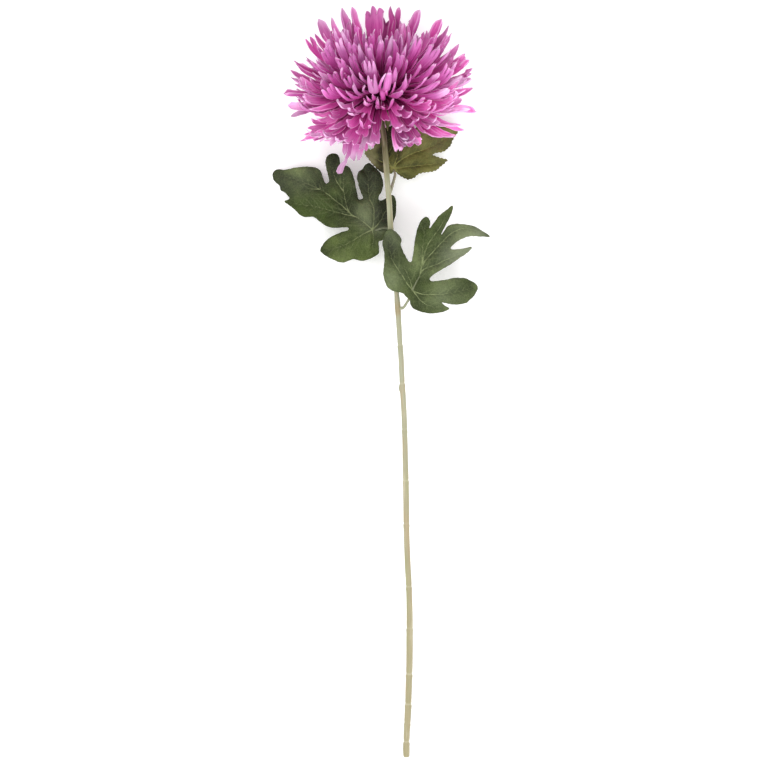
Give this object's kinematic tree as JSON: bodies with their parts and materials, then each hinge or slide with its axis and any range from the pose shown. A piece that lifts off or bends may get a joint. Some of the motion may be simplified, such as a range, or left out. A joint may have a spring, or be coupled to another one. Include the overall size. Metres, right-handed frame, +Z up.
{
  "type": "pompon chrysanthemum",
  "caption": "Single cut chrysanthemum lying on a surface: a long bare stem, lobed green leaves near the top and one large round head of magenta-pink strap florets.",
  "frame": {"origin": "centre of the flower's footprint, on the surface that it lies on", "axes": "+Y along the stem from the cut end towards the bloom, +Z up from the surface, +X to the right seen from above with the bloom at the top"},
  "size_m": [0.1974, 0.6786, 0.1491],
  "materials": {
    "stem": "satin",
    "leaf": "satin",
    "leaf_pale": "satin",
    "bract": "matte",
    "petal": "matte"
  },
  "bodies": {
    "root": {"stem": "stem", "leaf_left": "leaf", "leaf_right": "leaf", "leaf_upper": "leaf_pale", "bracts": "bract", "floret_tuft": "petal", "floret_whorl_01": "petal", "floret_whorl_02": "petal", "floret_whorl_03": "petal", "floret_whorl_04": "petal", "floret_whorl_05": "petal", "floret_whorl_06": "petal", "floret_whorl_07": "petal", "floret_whorl_08": "petal", "floret_whorl_09": "petal", "floret_whorl_10": "petal", "floret_whorl_11": "petal", "floret_whorl_12": "petal", "floret_whorl_13": "petal", "floret_whorl_14": "petal", "floret_whorl_15": "petal", "floret_whorl_16": "petal", "floret_whorl_17": "petal", "floret_whorl_18": "petal", "floret_whorl_19": "petal", "floret_whorl_20": "petal", "floret_whorl_21": "petal", "floret_whorl_22": "petal", "floret_whorl_23": "petal", "floret_whorl_24": "petal"}
  },
  "joints": []
}
